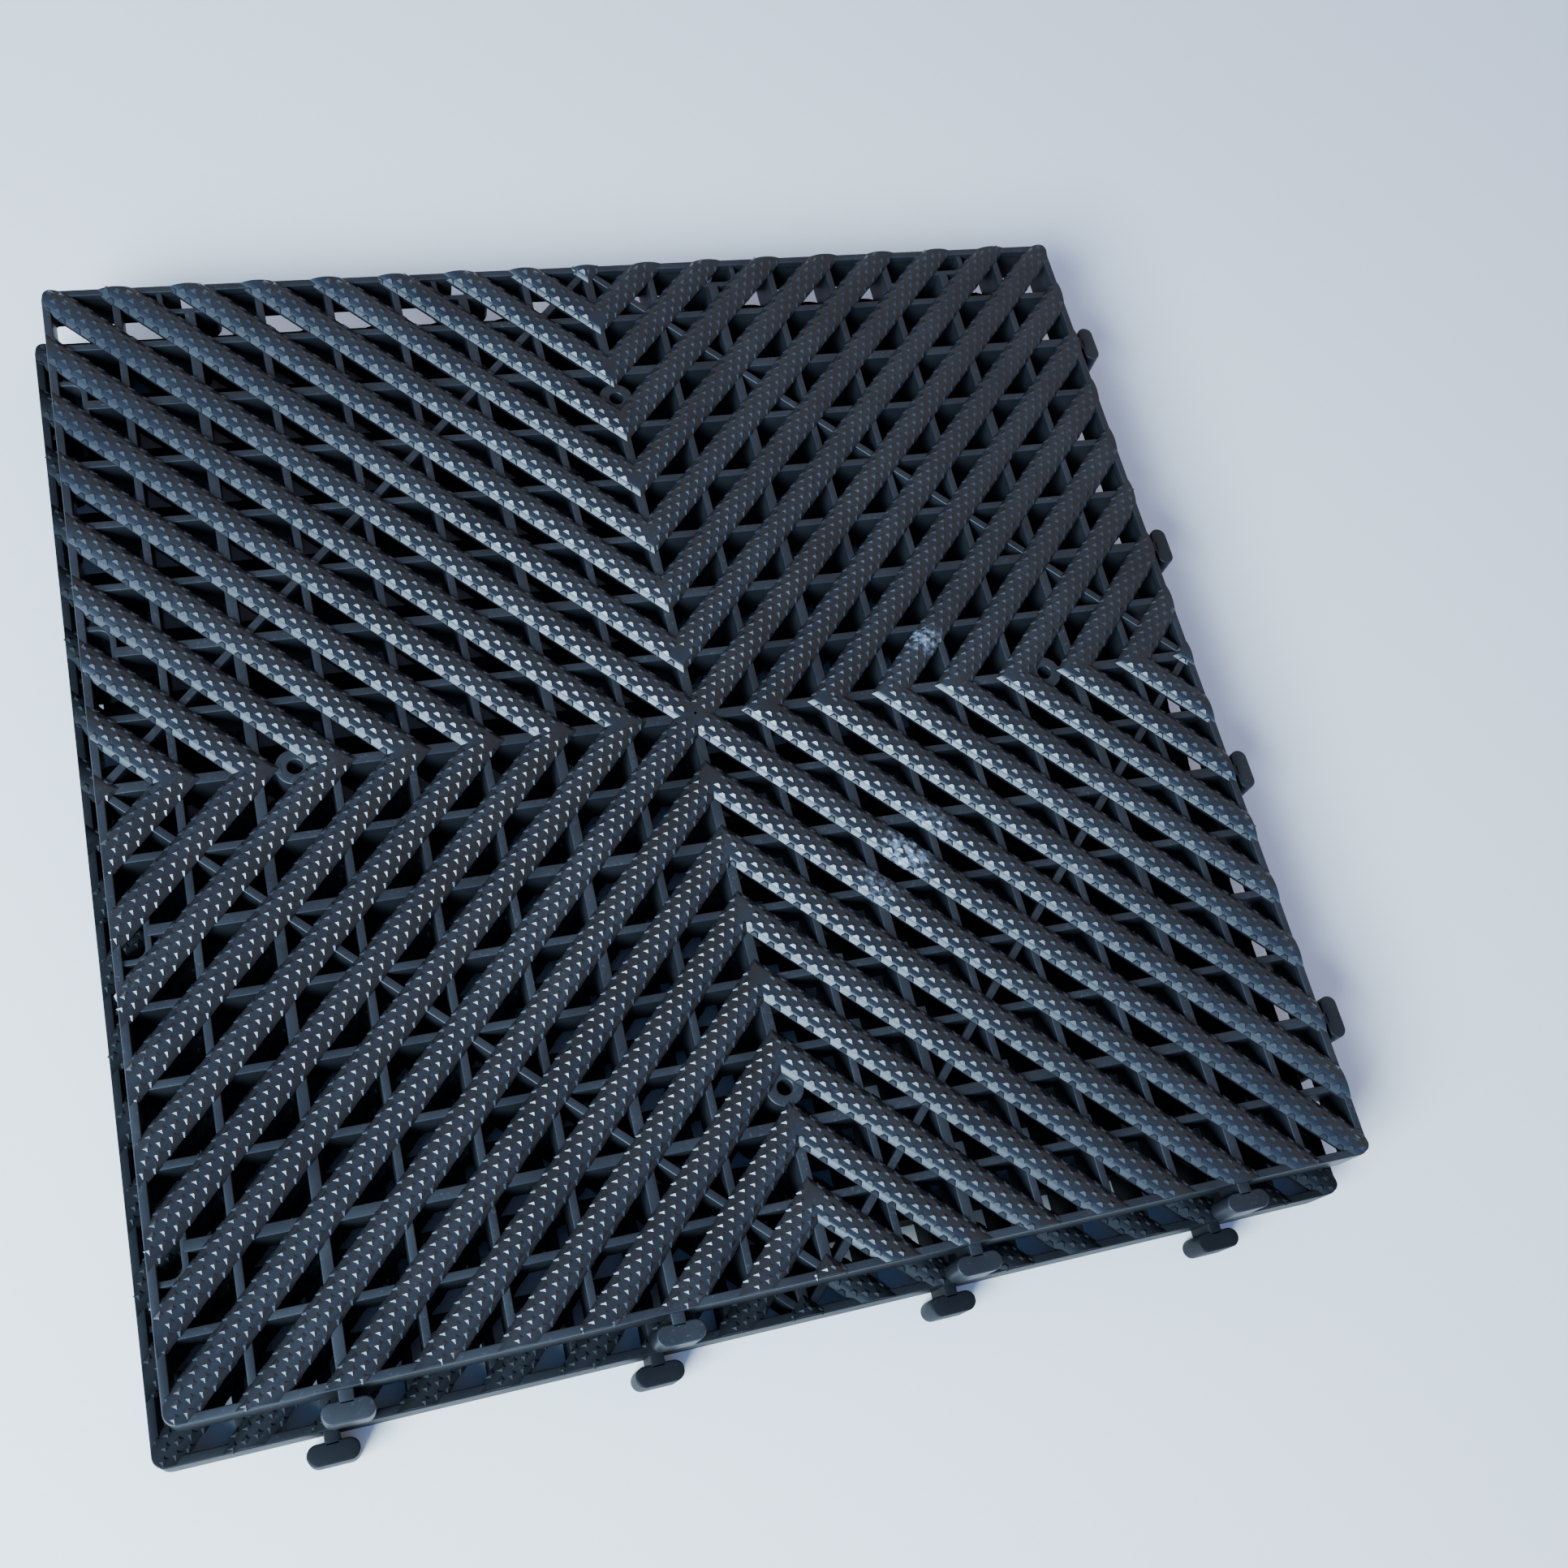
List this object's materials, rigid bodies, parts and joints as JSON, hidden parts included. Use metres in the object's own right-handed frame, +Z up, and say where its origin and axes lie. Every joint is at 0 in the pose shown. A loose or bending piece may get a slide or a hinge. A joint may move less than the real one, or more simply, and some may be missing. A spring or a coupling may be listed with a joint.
{
  "type": "interlocking door mat tiles",
  "caption": "Square grid door mat tiles of moulded plastic, with chevron bars, T tabs and sockets on their edges; one tile lies on the other and lifts off.",
  "frame": {"origin": "on the floor under the middle of the lower tile's grid, tabs left out", "axes": "+Z up; -Y towards the front edge with tabs; +X towards the right edge with tabs"},
  "size_m": [0.4154, 0.4184, 0.0363],
  "materials": {
    "rib_plastic": "moulded, fine grain, semi matt",
    "tread_plastic": "moulded, small raised studs, satin",
    "tab_plastic": "moulded, smooth, semi matt"
  },
  "bodies": {
    "lower_tile": {"lower_rib_grid": "rib_plastic", "lower_tread": "tread_plastic", "lower_tab_front_1": "tab_plastic", "lower_tab_front_2": "tab_plastic", "lower_tab_front_3": "tab_plastic", "lower_tab_front_4": "tab_plastic", "lower_tab_right_1": "tab_plastic", "lower_tab_right_2": "tab_plastic", "lower_tab_right_3": "tab_plastic", "lower_tab_right_4": "tab_plastic"},
    "upper_tile": {"upper_rib_grid": "rib_plastic", "upper_tread": "tread_plastic", "upper_tab_front_1": "tab_plastic", "upper_tab_front_2": "tab_plastic", "upper_tab_front_3": "tab_plastic", "upper_tab_front_4": "tab_plastic", "upper_tab_right_1": "tab_plastic", "upper_tab_right_2": "tab_plastic", "upper_tab_right_3": "tab_plastic", "upper_tab_right_4": "tab_plastic"}
  },
  "joints": [
    {"name": "lift_off", "type": "slide", "parent": "lower_tile", "child": "upper_tile", "axis": [0, 0, 1], "range_m": [0, 0.06]}
  ]
}
